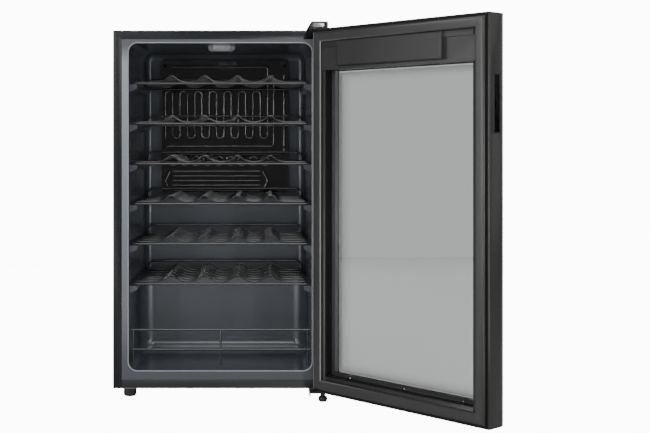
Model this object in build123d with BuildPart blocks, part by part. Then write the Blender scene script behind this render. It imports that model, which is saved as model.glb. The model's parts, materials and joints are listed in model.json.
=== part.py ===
"""Free-standing wine cooler with its door standing open, in millimetres, +Z up.

The origin is on the floor under the middle of the cabinet. X runs to the hinge side, Y to the back.
"""
import os
from math import asin, cos, degrees, hypot, radians, sin

from build123d import *

os.makedirs("parts", exist_ok=True)

# Cabinet
cabinet_width = 480.0
cabinet_height = 801.0
cabinet_depth = 385.0
foot_height = 23.0
sheet = 1.0
front_border = 19.7
back_border = 12.0
sill_height = 20.0
base_sheet = 1.2

# Liner and the space inside it
liner_wall = 1.5
side_flange = 15.1
top_flange = 8.6
bottom_flange = 20.0
wall_draft = 5.0
inside_depth = 345.0
lower_bay_depth = 232.0
step_height = 183.0
tunnel_radius = 20.0
bay_corner_radius = 38.0
back_corner_radius = 16.0

# Foam over the compressor bay
step_foam = 26.0

# Shelves
shelf_count = 6
top_shelf_drop = 89.0
lowest_shelf_gap = 6.7
shelf_side_play = 6.2
shelf_setback = 30.0
shelf_back_play = 23.0
frame_wire = 4.6
wave_wire = 4.0
wave_count = 6
bottle_pitch = 75.0
wave_rise = 14.5
crest_radius = 11.0
fence_rise = 24.0
fence_radius = 14.0
weld_sink = 0.6
ledge_bearing = 6.0
ledge_height = 17.0
ledge_setback = 20.0
ledge_back_play = 15.0
ledge_slope = 0.5
rest_gap = 0.3

# Bottle guard
guard_setback = 15.0
guard_wire = 4.6
guard_rises = (44.6, 89.0)
guard_upright = 3.6
guard_foot = 8.0
guard_side_play = 4.0
guard_end = 5.0

# Door
door_open = 132.0
door_thickness = 44.0
door_gap = 8.0
door_lift = 0.5
outer_pane = 4.0
inner_pane = 4.0
pane_space = 12.0
stile_width = 38.0
rebate_width = 24.0
pane_clearance = 1.0
spacer_width = 8.0
spacer_edge = 9.5
bead_width = 5.0
bead_height = 6.0
bead_step = 3.0
door_edge_radius = 2.0
gasket_edge = 7.0
gasket_band = 23.0
gasket_proud = 7.2
magnet_width = 8.0
magnet_height = 3.0

# Hinges
hinge_inset = 12.0
hinge_setback = 27.0
pin_radius = 4.0
pin_running_gap = 0.05
bush_radius = 6.0
bush_depth = 18.0
plate = 3.0
cover_height = 16.0
cover_width = 47.0

# Handle in the free edge of the door
handle_drop = 118.0
handle_length = 115.0
bezel_back = 7.0
bezel_width = 29.0
bezel_proud = 1.2
pocket_depth = 15.0
slot_back = 16.0
slot_width = 16.6
slot_floor = 2.0
slot_end = 2.0

# Control housing at the top of the door
housing_height = 62.5
housing_plate = 2.0
housing_proud = 15.0
housing_hinge_space = 86.0
housing_free_space = 106.0
lip_height = 12.0

# Feet
foot_radius = 14.5
foot_inset = 34.5
foot_setback = 35.0
foot_bevel = 3.0
hinge_foot_radius = 10.0
hinge_foot_height = 13.0
hinge_foot_hex = 5.5
foot_stud = 4.0
stud_reach = 14.0
stud_gap = 0.08

# Cooling
evaporator_side_space = 41.2
evaporator_drop = 13.7
evaporator_height = 334.0
evaporator_sheet = 1.5
evaporator_gap = 12.0
evaporator_corner = 6.0
compressor_width = 140.0
compressor_room = 24.5
compressor_headroom = 41.3
compressor_x = -60.0
shell_belly = 12.0
shell_dome = 30.0
mount_spread_x = 92.0
mount_margin = 19.0
grommet_height = 10.0
grommet_radius = 8.0
base_stud_radius = 3.0
base_stud_height = 16.0
tube_radius = 3.2
tube_bore = 4.2
drain_radius = 5.0
condenser_tube = 2.4
condenser_wire = 0.8
condenser_wire_pitch = 17.0
condenser_rows = 12
condenser_gap = 5.0
tray_height = 18.0
tray_wall = 1.6
tray_corner = 12.0

# Derived places
half_width = cabinet_width / 2
front = -cabinet_depth / 2
back = cabinet_depth / 2
bottom = foot_height
top = foot_height + cabinet_height
floor_in = bottom + sill_height + bottom_flange
ceiling_in = top - front_border - top_flange
half_in = half_width - front_border - side_flange
half_in_back = half_in - wall_draft
mitre_x = half_width - front_border
wall_back = front + inside_depth
step_face = front + lower_bay_depth
step_top = floor_in + step_height
foam_front = front + liner_wall
foam_back = wall_back + liner_wall
foam_bottom = bottom + base_sheet + sheet
foam_top = top - sheet
bay_wall = step_face + liner_wall + step_foam
bay_roof = step_top - liner_wall - step_foam
foot_x = foot_inset - half_width
foot_y = front + foot_setback
stud_top = bottom + stud_reach
lowest_shelf = step_top + lowest_shelf_gap
shelf_pitch = (ceiling_in - top_shelf_drop - lowest_shelf) / (shelf_count - 1)
shelf_levels = [lowest_shelf + i * shelf_pitch for i in range(shelf_count)]
shelf_width = 2 * (half_in_back - shelf_side_play)
shelf_length = inside_depth - shelf_setback - shelf_back_play
ledge_length = inside_depth - ledge_setback - ledge_back_play
evaporator_half = half_in_back - evaporator_side_space
evaporator_high = ceiling_in - evaporator_drop
evaporator_low = evaporator_high - evaporator_height
evaporator_y = wall_back - evaporator_gap


def save(piece, label):
    """Label a finished piece and write its STEP file."""
    piece.part.label = label
    export_step(piece.part, f"parts/{label}.step")


def block(x, y, z, mode=Mode.ADD):
    """Add or cut a box between the two ends given on each axis."""
    with Locations(((x[0] + x[1]) / 2, (y[0] + y[1]) / 2, (z[0] + z[1]) / 2)):
        Box(x[1] - x[0], y[1] - y[0], z[1] - z[0], mode=mode)


def prism(points, plane, height, mode=Mode.ADD):
    """Add or cut a straight prism on a closed outline."""
    with BuildSketch(plane) as outline:
        with BuildLine():
            Polyline(*points, close=True)
        make_face()
    extrude(outline.sketch, amount=height, mode=mode)


def rod(start, end, radius, mode=Mode.ADD):
    """Add or cut a round bar between two points."""
    axis = Vector(*end) - Vector(*start)
    with BuildSketch(Plane(origin=start, z_dir=axis)) as section:
        Circle(radius)
    extrude(section.sketch, amount=axis.length, mode=mode)


def bent_rod(points, bend, radius):
    """Add a round bar along straight runs joined by equal bends."""
    with BuildLine() as route:
        FilletPolyline(*points, radius=bend)
    with BuildSketch(Plane(origin=points[0], z_dir=route.wire() % 0)) as section:
        Circle(radius)
    sweep(section.sketch, path=route.wire())


def stud_hole():
    """Cut the running hole of the front left foot's stud."""
    rod((foot_x, foot_y, 0), (foot_x, foot_y, stud_top + 1), foot_stud + stud_gap, mode=Mode.SUBTRACT)


# Side panels: painted steel, folded in at the front and at the back, mitred to the top panel
for side, name in ((-1, "side_panel_left"), (1, "side_panel_right")):
    outline = [
        (side * half_width, front), (side * (half_width - front_border), front),
        (side * (half_width - front_border), front + sheet), (side * (half_width - sheet), front + sheet),
        (side * (half_width - sheet), back - sheet), (side * (half_width - back_border), back - sheet),
        (side * (half_width - back_border), back), (side * half_width, back),
    ]
    with BuildPart() as side_panel:
        prism(outline, Plane.XY.offset(bottom), cabinet_height)
        mitre = [
            (side * half_width, top), (side * (half_width - front_border), top - front_border),
            (side * (half_width - front_border), top),
        ]
        prism(mitre, Plane.XZ.offset(-front - sheet), 2 * sheet, mode=Mode.SUBTRACT)
        return_end = (half_width - back_border, half_width - sheet)
        block(sorted(side * x for x in return_end), (back - sheet, back), (foam_top, top), mode=Mode.SUBTRACT)
    save(side_panel, name)

# Top panel: painted steel with its front return mitred at both ends
with BuildPart() as top_panel:
    block((sheet - half_width, half_width - sheet), (front, back), (foam_top, top))
    mitred_front = [
        (-half_width + sheet, top - sheet), (half_width - sheet, top - sheet),
        (mitre_x, top - front_border), (-mitre_x, top - front_border),
    ]
    prism(mitred_front, Plane.XZ.offset(-front - sheet), sheet)
save(top_panel, "top_panel")

# Front sill: the cross rail under the opening, folded back under the floor foam
with BuildPart() as front_sill:
    block((-mitre_x, mitre_x), (front, front + sheet), (bottom + base_sheet, bottom + sill_height))
    block((-mitre_x, mitre_x), (front, front + 3 * sill_height), (bottom + base_sheet, foam_bottom))
    stud_hole()
save(front_sill, "front_sill")

def tunnel(grow):
    """The space inside the liner, or its foam side where it is grown by the wall."""
    height = ceiling_in - floor_in + 2 * grow
    middle = (ceiling_in + floor_in) / 2
    with BuildPart() as space:
        with BuildSketch(Plane.XZ.offset(-front)) as mouth:
            with Locations((0, middle)):
                RectangleRounded(2 * (half_in + grow), height, tunnel_radius + grow)
        with BuildSketch(Plane.XZ.offset(-wall_back - grow)) as end:
            with Locations((0, middle)):
                RectangleRounded(2 * (half_in_back + grow), height, tunnel_radius + grow)
        loft([mouth.sketch, end.sketch])
        fillet(space.faces().sort_by(Axis.Y)[-1].edges(), back_corner_radius + grow)
    with BuildPart() as step:
        block((-half_width, half_width), (step_face + grow, back), (0, step_top - grow))
    with BuildPart() as hollow:
        add(space.part)
        add(step.part, mode=Mode.SUBTRACT)
        deep = hollow.edges().filter_by(GeomType.LINE).filter_by(
            lambda edge: edge.center().Y > step_face - 1 + grow
            and edge.center().Z < step_top - grow
            and abs(edge.tangent_at(0.5).Z) > 0.9
        )
        fillet(deep, bay_corner_radius + grow)
    return hollow.part


inside = tunnel(0)
outside = tunnel(liner_wall)

# Foam insulation: one foaming round the liner, as slabs that meet face to face
side_slab = [
    (half_width - sheet, foam_front), (half_in + liner_wall, foam_front),
    (half_in_back + liner_wall, foam_back), (half_width - sheet, foam_back),
]
between_sides = [
    (-half_in - liner_wall, foam_front), (half_in + liner_wall, foam_front),
    (half_in_back + liner_wall, foam_back), (-half_in_back - liner_wall, foam_back),
]
with BuildPart() as foam_sides:
    prism(side_slab, Plane.XY.offset(foam_bottom), foam_top - foam_bottom)
    mirror(about=Plane.YZ)
    stud_hole()
save(foam_sides, "foam_sides")

with BuildPart() as foam_ceiling:
    prism(between_sides, Plane.XY.offset(ceiling_in + liner_wall), foam_top - ceiling_in - liner_wall)
save(foam_ceiling, "foam_top")

with BuildPart() as foam_floor:
    prism(between_sides, Plane.XY.offset(foam_bottom), floor_in - liner_wall - foam_bottom)
    block((-half_width, half_width), (step_face + liner_wall, back), (0, floor_in), mode=Mode.SUBTRACT)
    stud_hole()
save(foam_floor, "foam_floor")

tube_x = evaporator_half - 9.0
tube_y = foam_back + 14.0
tube_exit_z = evaporator_low + 26.0
corner_relief = 12.0
drain_y = foam_back + 12.0
drain_z = step_top + drain_radius
with BuildPart() as foam_step:
    prism(between_sides, Plane.XY.offset(foam_bottom), step_top - liner_wall - foam_bottom)
    block((-half_width, half_width), (front, step_face + liner_wall), (0, step_top), mode=Mode.SUBTRACT)
    block((-half_width, half_width), (bay_wall, back), (0, bay_roof), mode=Mode.SUBTRACT)
    add(outside, mode=Mode.SUBTRACT)
save(foam_step, "foam_step")

with BuildPart() as foam_rear:
    block((sheet - half_width, half_width - sheet), (foam_back, back - sheet), (bay_roof, foam_top))
    rod((tube_x, tube_y, bay_roof), (tube_x, tube_y, tube_exit_z + tube_bore), tube_bore, mode=Mode.SUBTRACT)
    rod((tube_x, foam_back, tube_exit_z), (tube_x, tube_y, tube_exit_z), tube_bore, mode=Mode.SUBTRACT)
    block((tube_x - tube_bore, tube_x + tube_bore), (foam_back, tube_y),
          (tube_exit_z - corner_relief, tube_exit_z), mode=Mode.SUBTRACT)
    rod((0, drain_y, bay_roof), (0, drain_y, drain_z + drain_radius), drain_radius, mode=Mode.SUBTRACT)
    block((-drain_radius, drain_radius), (foam_back, drain_y), (drain_z - corner_relief, drain_z),
          mode=Mode.SUBTRACT)
    rod((0, foam_back, drain_z), (0, drain_y, drain_z), drain_radius, mode=Mode.SUBTRACT)
save(foam_rear, "foam_back")

# Ledges: each shelf slides on a pair, moulded in the side walls, with a foam core
ledge_face = shelf_width / 2 - ledge_bearing
ledge_root = half_in + 2 * liner_wall


def ledge(level, side, skin):
    """Add one ledge reaching into the side slab, its faces set back by the thickness of the skin."""
    high = level - frame_wire / 2 - rest_gap - skin
    low = level - frame_wire / 2 - rest_gap - ledge_height + skin
    profile = [
        (side * (ledge_face + skin), high), (side * ledge_root, high), (side * ledge_root, low),
        (side * (half_in - skin), low),
        (side * (ledge_face + skin), high - ledge_slope * ledge_height + skin),
    ]
    start = front + ledge_setback + skin
    prism(profile, Plane.XZ.offset(-start - ledge_length + 2 * skin), ledge_length - 2 * skin)


with BuildPart() as ledge_cores:
    for level in shelf_levels:
        for side in (-1, 1):
            ledge(level, side, liner_wall)
    add(foam_sides.part, mode=Mode.SUBTRACT)
    add(foam_step.part, mode=Mode.SUBTRACT)
save(ledge_cores, "ledge_cores")

with BuildPart() as ledge_skins:
    for level in shelf_levels:
        for side in (-1, 1):
            ledge(level, side, 0)


with BuildPart() as ledge_walls:
    add(outside)
    add(ledge_skins.part, mode=Mode.INTERSECT)

# Liner: vacuum-formed plastic, flange, rim, walls, ledges and the step over the compressor bay
flange_gap = 0.2
with BuildPart() as inner_liner:
    add(outside)
    flange_x = mitre_x - flange_gap
    flange_z = (bottom + sill_height + flange_gap, top - front_border - flange_gap)
    block((-flange_x, flange_x), (front, foam_front), flange_z)
    add(inside, mode=Mode.SUBTRACT)
    add(ledge_walls.part)
    add(ledge_cores.part, mode=Mode.SUBTRACT)
    rod((tube_x, wall_back - 1, tube_exit_z), (tube_x, foam_back + 1, tube_exit_z), tube_bore,
        mode=Mode.SUBTRACT)
    rod((0, wall_back - 1, drain_z), (0, foam_back + 1, drain_z), drain_radius, mode=Mode.SUBTRACT)
save(inner_liner, "inner_liner")

# Back panel and compressor bay walls: thin steel
with BuildPart() as back_panel:
    block((back_border - half_width, half_width - back_border), (back - sheet, back), (bay_roof, foam_top))
save(back_panel, "back_panel")

with BuildPart() as bay_walls:
    block((sheet - half_width, half_width - sheet), (bay_wall, bay_wall + sheet),
          (foam_bottom, bay_roof - sheet))
    block((sheet - half_width, half_width - sheet), (bay_wall, back - sheet), (bay_roof - sheet, bay_roof))
    add(foam_sides.part, mode=Mode.SUBTRACT)
    rod((tube_x, tube_y, bottom), (tube_x, tube_y, top), tube_bore, mode=Mode.SUBTRACT)
    rod((0, drain_y, bottom), (0, drain_y, top), drain_radius, mode=Mode.SUBTRACT)
save(bay_walls, "bay_walls")

# Base pan: steel plate that carries the feet, the compressor and the bottom hinge
compressor_y = (bay_wall + sheet + back) / 2
shell_depth = back - bay_wall - sheet - compressor_room
mount_spread_y = shell_depth - 2 * mount_margin
base_top = bottom + base_sheet
stand = (Align.CENTER, Align.CENTER, Align.MIN)
with BuildPart() as base_pan:
    block((sheet - half_width, half_width - sheet), (front + sheet, back - sheet), (bottom, base_top))
    block((sheet - half_width, half_width - sheet), (back - sheet - base_sheet, back - sheet),
          (bottom, bottom + sill_height))
    with Locations((compressor_x, compressor_y, base_top)):
        with GridLocations(mount_spread_x, mount_spread_y, 2, 2):
            Cylinder(base_stud_radius, base_stud_height, align=stand)
    stud_hole()
save(base_pan, "base_pan")

# Compressor: welded oval shell on a foot plate, on four rubber grommets over the base studs
grommet_grip = 0.05
with BuildPart() as compressor_grommets:
    with Locations((compressor_x, compressor_y, base_top)):
        with GridLocations(mount_spread_x, mount_spread_y, 2, 2):
            Cylinder(grommet_radius, grommet_height, align=stand)
            Cylinder(base_stud_radius + grommet_grip, grommet_height, align=stand, mode=Mode.SUBTRACT)
save(compressor_grommets, "compressor_grommets")

foot_plate_z = base_top + grommet_height
foot_plate_margin = 14.0
foot_plate_corner = 10.0
shell_base_z = foot_plate_z + plate
shell_height = bay_roof - shell_base_z - compressor_headroom
with BuildPart() as compressor:
    with BuildSketch(Plane.XY.offset(foot_plate_z)):
        with Locations((compressor_x, compressor_y)):
            RectangleRounded(mount_spread_x + 2 * foot_plate_margin, shell_depth - foot_plate_margin,
                             foot_plate_corner)
            with GridLocations(mount_spread_x, mount_spread_y, 2, 2):
                Circle(base_stud_radius + rest_gap, mode=Mode.SUBTRACT)
    extrude(amount=plate)
    with BuildSketch(Plane.XY.offset(shell_base_z)):
        with Locations((compressor_x, compressor_y)):
            Ellipse(0.3 * compressor_width, 0.36 * shell_depth)
    extrude(amount=shell_height - shell_dome)
    with BuildSketch(Plane.XY.offset(shell_base_z + shell_belly)):
        with Locations((compressor_x, compressor_y)):
            Ellipse(compressor_width / 2, shell_depth / 2)
    extrude(amount=shell_height - shell_belly)
    fillet(compressor.edges().filter_by(Plane.XY).group_by(Axis.Z)[-1], shell_dome)
save(compressor, "compressor")

terminal_depth = 29.7
terminal_half = 22.0
terminal_z = (shell_base_z + 0.32 * shell_height, shell_base_z + 0.74 * shell_height)
terminal_x = compressor_x - compressor_width / 2 - rest_gap
with BuildPart() as terminal_box:
    block((terminal_x - terminal_depth, terminal_x),
          (compressor_y - terminal_half, compressor_y + terminal_half), terminal_z)
    fillet(terminal_box.edges().filter_by(Axis.X), 4)
save(terminal_box, "terminal_box")

# Refrigerant tubes: suction from the evaporator down through the foam, discharge to the condenser
port_x = compressor_x + compressor_width / 2 + rest_gap
suction_z = shell_base_z + 0.68 * shell_height
discharge_z = shell_base_z + 0.43 * shell_height
suction_bend = 10.0
discharge_bend = 8.0
condenser_y = back + condenser_gap + condenser_wire * 2 + condenser_tube
condenser_half = half_width - 32.0
condenser_low = bay_roof + 24.0
condenser_high = top - 48.0
condenser_pitch = (condenser_high - condenser_low) / (condenser_rows - 1)
riser_x = condenser_half + 12.0
joint_x = condenser_half - 20.0
joint_gap = 4.0
with BuildPart() as suction_tube:
    bent_rod([(port_x, compressor_y, suction_z), (tube_x - 40, compressor_y, suction_z),
              (tube_x, tube_y, suction_z), (tube_x, tube_y, tube_exit_z),
              (tube_x, evaporator_y, tube_exit_z)], suction_bend, tube_radius)
with BuildPart() as discharge_tube:
    bent_rod([(port_x, compressor_y, discharge_z), (tube_x - 20, compressor_y, discharge_z),
              (riser_x, condenser_y, discharge_z), (riser_x, condenser_y, condenser_low),
              (joint_x, condenser_y, condenser_low)], discharge_bend, condenser_tube)
with BuildPart() as refrigerant_tubes:
    add(suction_tube.part)
    add(discharge_tube.part)
save(refrigerant_tubes, "refrigerant_tubes")

# Filter drier: a turned copper capsule with a narrow neck at each end
drier_x = half_width - 70.0
drier_y = bay_wall + 40.0
drier_low = bottom + 47.0
drier_length = 0.55 * (bay_roof - foam_bottom)
drier_radius = 9.0
drier_neck = 3.0
drier_neck_length = 14.0
drier_taper = 8.0
drier_high = drier_low + drier_length
with BuildPart() as filter_drier:
    with BuildSketch(Plane.XZ.offset(-drier_y)):
        with BuildLine():
            Polyline((drier_x, drier_low), (drier_x + drier_neck, drier_low),
                     (drier_x + drier_neck, drier_low + drier_neck_length),
                     (drier_x + drier_radius, drier_low + drier_neck_length + drier_taper),
                     (drier_x + drier_radius, drier_high - drier_neck_length - drier_taper),
                     (drier_x + drier_neck, drier_high - drier_neck_length),
                     (drier_x + drier_neck, drier_high), (drier_x, drier_high), close=True)
        make_face()
    revolve(axis=Axis((drier_x, drier_y, 0), (0, 0, 1)))
save(filter_drier, "filter_drier")

# Condenser: a tube serpentine across the back with thin wires on both sides of it
row_points = []
for row in range(condenser_rows):
    row_z = condenser_low + row * condenser_pitch
    ends = (joint_x - joint_gap, -condenser_half) if row == 0 else (condenser_half, -condenser_half)
    for x in ends if row % 2 == 0 else reversed(ends):
        row_points.append((x, condenser_y, row_z))
with BuildPart() as condenser_coil:
    bent_rod(row_points, condenser_pitch * 0.42, condenser_tube)
save(condenser_coil, "condenser_tube")

wires_across = int(2 * (condenser_half - condenser_pitch * 0.5) // condenser_wire_pitch)
wire_end = 12.0
wire_gap = 0.05
with BuildPart() as condenser_wires:
    for side in (-1, 1):
        wire_y = condenser_y + side * (condenser_tube + condenser_wire + wire_gap)
        wire_middle = (condenser_low + condenser_high) / 2
        with Locations((0, wire_y, wire_middle)):
            with GridLocations(condenser_wire_pitch, 1, wires_across, 1):
                Cylinder(condenser_wire, condenser_high - condenser_low + 2 * wire_end)
save(condenser_wires, "condenser_wires")

# Drip tray on the compressor, and the drain that runs to it from the foot of the back wall
tray_z = shell_base_z + shell_height + rest_gap
tray_size = (compressor_width + 10.0, shell_depth - 10.0)
tray_inside = (tray_size[0] - 2 * tray_wall, tray_size[1] - 2 * tray_wall)
with BuildPart() as drip_tray:
    with BuildSketch(Plane.XY.offset(tray_z)):
        with Locations((compressor_x / 2, compressor_y)):
            RectangleRounded(*tray_size, tray_corner)
    extrude(amount=tray_height)
    with BuildSketch(Plane.XY.offset(tray_z + tray_wall)):
        with Locations((compressor_x / 2, compressor_y)):
            RectangleRounded(*tray_inside, tray_corner - tray_wall)
    extrude(amount=tray_height, mode=Mode.SUBTRACT)
save(drip_tray, "drip_tray")

drain_play = 0.2
drain_bend = 6.0
drain_end = 8.0
with BuildPart() as drain_tube:
    bent_rod([(0, wall_back, drain_z), (0, drain_y, drain_z), (0, drain_y, bay_roof - drain_end)],
             drain_bend, drain_radius - drain_play)
save(drain_tube, "drain_tube")

# Power electronics box under the bay's roof
box_length = 90.0
box_height = 78.0
box_depth = 25.0
box_side_gap = 6.0
box_roof_gap = 12.0
box_x = (half_in_back - box_side_gap - box_length, half_in_back - box_side_gap)
box_z = (bay_roof - box_roof_gap - box_height, bay_roof - box_roof_gap)
with BuildPart() as control_box:
    block(box_x, (bay_wall + sheet, bay_wall + sheet + box_depth), box_z)
    fillet(control_box.edges().filter_by(Axis.Y), 4)
save(control_box, "control_box")

# Gland that the mains lead comes out of, on a bracket at the back of the base
gland_x = 20.0 - half_width
gland_z = bottom + sill_height + 20.0
gland_back = back + 4.0
gland_radius = 7.0
cord_radius = 3.6
bracket_y = (back - 24.0, back - 20.0)
bracket_half = 16.0
bracket_rise = 18.0
with BuildPart() as cord_gland:
    block((sheet - half_width, gland_x + bracket_half), bracket_y, (base_top, gland_z + bracket_rise))
    rod((gland_x, bracket_y[1], gland_z), (gland_x, gland_back, gland_z), gland_radius)
    rod((gland_x, bracket_y[0], gland_z), (gland_x, gland_back, gland_z), cord_radius, mode=Mode.SUBTRACT)
save(cord_gland, "cord_gland")

# Evaporator: pressed aluminium plate in front of the back wall, on four spacers with screws
with BuildPart() as evaporator_plate:
    block((-evaporator_half, evaporator_half), (evaporator_y - evaporator_sheet, evaporator_y),
          (evaporator_low, evaporator_high))
    fillet(evaporator_plate.edges().filter_by(Axis.Y), evaporator_corner)
save(evaporator_plate, "evaporator_plate")

screw_x = evaporator_half - 9.0
screw_heights = (evaporator_low + 0.34 * evaporator_height, evaporator_high - 16.0)
spacer_radius = 5.0
head_radius = 4.5
head_height = 2.5
head_y = evaporator_y - evaporator_sheet
with BuildPart() as evaporator_screws:
    for x in (-screw_x, screw_x):
        for z in screw_heights:
            rod((x, evaporator_y, z), (x, wall_back, z), spacer_radius)
            rod((x, head_y - head_height, z), (x, head_y, z), head_radius)
save(evaporator_screws, "evaporator_screws")

# Lamp in the ceiling: circuit board above a faceted clear lens
lamp_y = front + 90.0
lens_drop = 12.0
lens_half = (31.0, 15.0)
lens_cut = 12.0
lens_facet = 5.0
lamp_pocket = (20.0, 8.0, 4.0)
board_half = (19.0, 7.0)
board_sheet = 1.6
with BuildPart() as lamp_lens:
    lens_outline = [
        (-lens_half[0], 0), (lens_cut - lens_half[0], lens_half[1]), (lens_half[0] - lens_cut, lens_half[1]),
        (lens_half[0], 0), (lens_half[0] - lens_cut, -lens_half[1]), (lens_cut - lens_half[0], -lens_half[1]),
    ]
    prism([(x, y + lamp_y) for x, y in lens_outline], Plane.XY.offset(ceiling_in - lens_drop), lens_drop)
    chamfer(lamp_lens.edges().group_by(Axis.Z)[0], lens_facet)
    block((-lamp_pocket[0], lamp_pocket[0]), (lamp_y - lamp_pocket[1], lamp_y + lamp_pocket[1]),
          (ceiling_in - lamp_pocket[2], ceiling_in), mode=Mode.SUBTRACT)
save(lamp_lens, "lamp_lens")

with BuildPart() as lamp_board:
    block((-board_half[0], board_half[0]), (lamp_y - board_half[1], lamp_y + board_half[1]),
          (ceiling_in - board_sheet, ceiling_in))
save(lamp_board, "lamp_board")

# Temperature probe: a small capped sensor on the right wall
probe_x = half_in_back - 7.0
probe_z = shelf_levels[-1] - 45.0
probe_y = (wall_back - 60.0, wall_back - 32.0)
probe_radius = 4.0
probe_foot = 4.0
wall_touch = 0.2
with BuildPart() as temperature_probe:
    rod((probe_x, probe_y[0], probe_z), (probe_x, probe_y[1], probe_z), probe_radius)
    probe_middle = (probe_y[0] + probe_y[1]) / 2
    block((probe_x, half_in_back + wall_touch), (probe_middle - probe_foot, probe_middle + probe_foot),
          (probe_z - probe_foot, probe_z + probe_foot))
save(temperature_probe, "temperature_probe")

# Bottle guard: wire rail across the lower bay, its ends close to the liner's side walls
guard_y = front + guard_setback
guard_top = floor_in + guard_rises[-1]
guard_half = half_in - guard_side_play
with BuildPart() as bottle_guard:
    for rise in guard_rises:
        rod((-guard_half, guard_y, floor_in + rise), (guard_half, guard_y, floor_in + rise), guard_wire / 2)
    for x in (guard_end - guard_half, 0, guard_half - guard_end):
        rod((x, guard_y, floor_in + guard_foot), (x, guard_y, guard_top), guard_upright / 2)
save(bottle_guard, "bottle_guard")

# Shelves: welded wire, a frame on the ledges, wavy cross wires for the bottles, a raised fence at the back
dip_run = bottle_pitch / 2
wave_radii = (dip_run**2 + wave_rise**2) / (2 * wave_rise)
dip_radius = wave_radii - crest_radius
turn = asin(dip_run / wave_radii)
tangent_x = dip_radius * sin(turn)
tangent_z = dip_radius * (1 - cos(turn))
wave_centre_z = frame_wire / 2 + wave_wire / 2 - weld_sink
rail_x = (shelf_width - frame_wire) / 2
with BuildPart() as wavy_wire:
    with BuildLine(Plane.XZ) as wave:
        low_x = 2 * bottle_pitch
        Line((-rail_x, wave_centre_z), (-low_x, wave_centre_z))
        half_sin, half_cos = sin(turn / 2), cos(turn / 2)
        for x in (-2, -1, 0, 1):
            left, right = x * bottle_pitch, (x + 1) * bottle_pitch
            if x == -2:
                ThreePointArc(
                    (left, wave_centre_z),
                    (left + dip_radius * half_sin, wave_centre_z + dip_radius * (1 - half_cos)),
                    (left + tangent_x, wave_centre_z + tangent_z))
            ThreePointArc(
                (left + tangent_x, wave_centre_z + tangent_z),
                ((left + right) / 2, wave_centre_z + wave_rise),
                (right - tangent_x, wave_centre_z + tangent_z))
            if x < 1:
                ThreePointArc(
                    (right - tangent_x, wave_centre_z + tangent_z), (right, wave_centre_z),
                    (right + tangent_x, wave_centre_z + tangent_z))
            else:
                ThreePointArc(
                    (right - tangent_x, wave_centre_z + tangent_z),
                    (right - dip_radius * half_sin, wave_centre_z + dip_radius * (1 - half_cos)),
                    (right, wave_centre_z))
        Line((low_x, wave_centre_z), (rail_x, wave_centre_z))
    with BuildSketch(Plane(origin=(-rail_x, 0, wave_centre_z), z_dir=(1, 0, 0))):
        Circle(wave_wire / 2)
    sweep(path=wave.wire())

shelf_front = front + shelf_setback
shelf_back = shelf_front + shelf_length
wave_start = 20.0
wave_pitch = (shelf_length - 2 * wave_start) / (wave_count - 1)
with BuildPart() as bare_shelf:
    rod((-rail_x - frame_wire / 2, shelf_front, 0), (rail_x + frame_wire / 2, shelf_front, 0), frame_wire / 2)
    for x in (-rail_x, rail_x):
        rod((x, shelf_front, 0), (x, shelf_back, 0), frame_wire / 2)
    bent_rod([(-rail_x, shelf_back, -frame_wire / 2), (-rail_x, shelf_back, fence_rise),
              (rail_x, shelf_back, fence_rise), (rail_x, shelf_back, -frame_wire / 2)],
             fence_radius, frame_wire / 2)
    rod((-rail_x, shelf_back, 0), (rail_x, shelf_back, 0), wave_wire / 2)
    for row in range(wave_count):
        with Locations((0, shelf_front + wave_start + row * wave_pitch, 0)):
            add(wavy_wire.part)

for number, level in enumerate(shelf_levels, 1):
    with BuildPart() as shelf:
        with Locations((0, 0, level)):
            add(bare_shelf.part)
    save(shelf, f"shelf_{number}")

# The door is drawn on a plane in its front face: x from the hinge edge, y up, z towards the cabinet
hinge_x = half_width - hinge_inset
hinge_y = front - hinge_setback
turned = radians(door_open)
door_width = cabinet_width
door_bottom = bottom + door_lift
door_height = cabinet_height - 2 * door_lift
door_top = door_bottom + door_height
front_reach = hinge_setback - door_gap - door_thickness
door_face = Plane(
    origin=(
        hinge_x + hinge_inset * cos(turned) - front_reach * sin(turned),
        hinge_y + hinge_inset * sin(turned) + front_reach * cos(turned),
        door_bottom,
    ),
    x_dir=(-cos(turned), -sin(turned), 0),
    z_dir=(-sin(turned), cos(turned), 0),
)
pane_back = outer_pane + pane_space + inner_pane
handle_top = door_height - handle_drop
handle_bottom = handle_top - handle_length
housing_box_end = door_width - housing_free_space


def door_block(across, up, deep, mode=Mode.ADD):
    """Add or cut a box in the door, given its two ends across, up and deep."""
    with BuildSketch(door_face.offset(deep[0])) as outline:
        with Locations(((across[0] + across[1]) / 2, (up[0] + up[1]) / 2)):
            Rectangle(across[1] - across[0], up[1] - up[0])
    extrude(outline.sketch, amount=deep[1] - deep[0], mode=mode)


def door_ring(edge, width, deep, corner=0.0, mode=Mode.ADD):
    """Add or cut a ring that follows the door's outline, set in from its edge."""
    with BuildSketch(door_face.offset(deep[0])) as outline:
        with Locations((door_width / 2, door_height / 2)):
            if corner:
                RectangleRounded(door_width - 2 * edge, door_height - 2 * edge, corner)
            else:
                Rectangle(door_width - 2 * edge, door_height - 2 * edge)
            Rectangle(door_width - 2 * (edge + width), door_height - 2 * (edge + width), mode=Mode.SUBTRACT)
    extrude(outline.sketch, amount=deep[1] - deep[0], mode=mode)


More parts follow.
